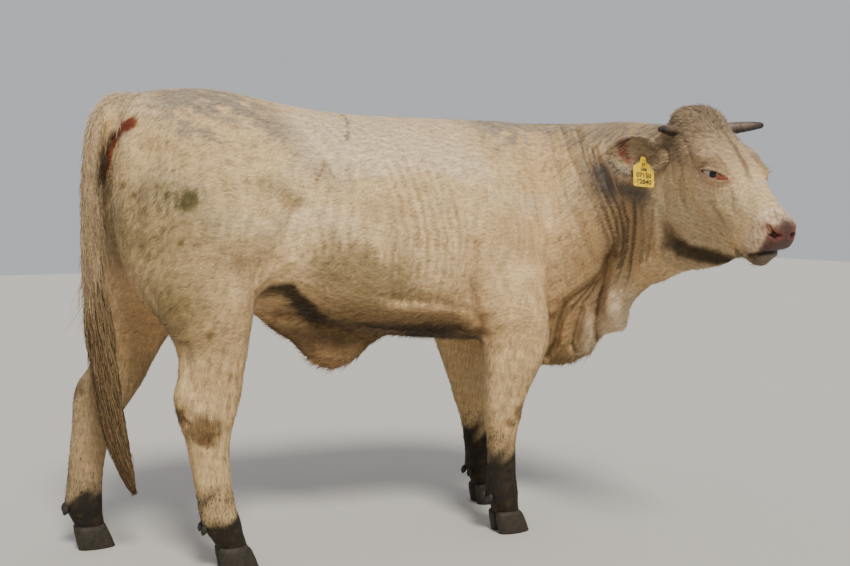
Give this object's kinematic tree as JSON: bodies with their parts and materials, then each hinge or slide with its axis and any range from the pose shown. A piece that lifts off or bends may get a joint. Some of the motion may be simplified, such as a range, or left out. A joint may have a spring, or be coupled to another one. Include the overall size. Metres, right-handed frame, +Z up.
{
  "type": "charolais yearling",
  "caption": "Life-size standing cream yearling of the Charolais breed with its head turned to its right, short horns, a yellow ear tag and a full tail switch.",
  "frame": {"origin": "middle of the bounding box in plan, at floor level under the four feet", "axes": "X to the animal's front, Y to its left, Z up"},
  "size_m": [1.799, 1.121, 1.2533],
  "materials": {
    "coat": "short cream coat, rough",
    "claw": "dark muddy horn",
    "dewclaw": "dark muddy horn",
    "horn": "grey-brown horn with darker tips",
    "eye": "wet dark brown",
    "tail_switch": "wavy brown hair",
    "ear_tag": "yellow moulded tag"
  },
  "bodies": {
    "root": {"claw_fore_left_left": "claw", "claw_fore_left_right": "claw", "claw_fore_right_left": "claw", "claw_fore_right_right": "claw", "claw_hind_left_left": "claw", "claw_hind_left_right": "claw", "claw_hind_right_left": "claw", "claw_hind_right_right": "claw", "dewclaw_fore_left_left": "dewclaw", "dewclaw_fore_left_right": "dewclaw", "dewclaw_fore_right_left": "dewclaw", "dewclaw_fore_right_right": "dewclaw", "dewclaw_hind_left_left": "dewclaw", "dewclaw_hind_left_right": "dewclaw", "dewclaw_hind_right_left": "dewclaw", "dewclaw_hind_right_right": "dewclaw", "ear_left": "coat", "ear_right": "coat", "ear_tag": "ear_tag", "eye_left": "eye", "eye_right": "eye", "head": "coat", "horn_left": "horn", "horn_right": "horn", "leg_fore_left_lower": "coat", "leg_fore_left_upper": "coat", "leg_fore_right_lower": "coat", "leg_fore_right_upper": "coat", "leg_hind_left_lower": "coat", "leg_hind_left_upper": "coat", "leg_hind_right_lower": "coat", "leg_hind_right_upper": "coat", "neck": "coat", "tail_dock": "coat", "tail_switch": "tail_switch", "torso": "coat"}
  },
  "joints": []
}
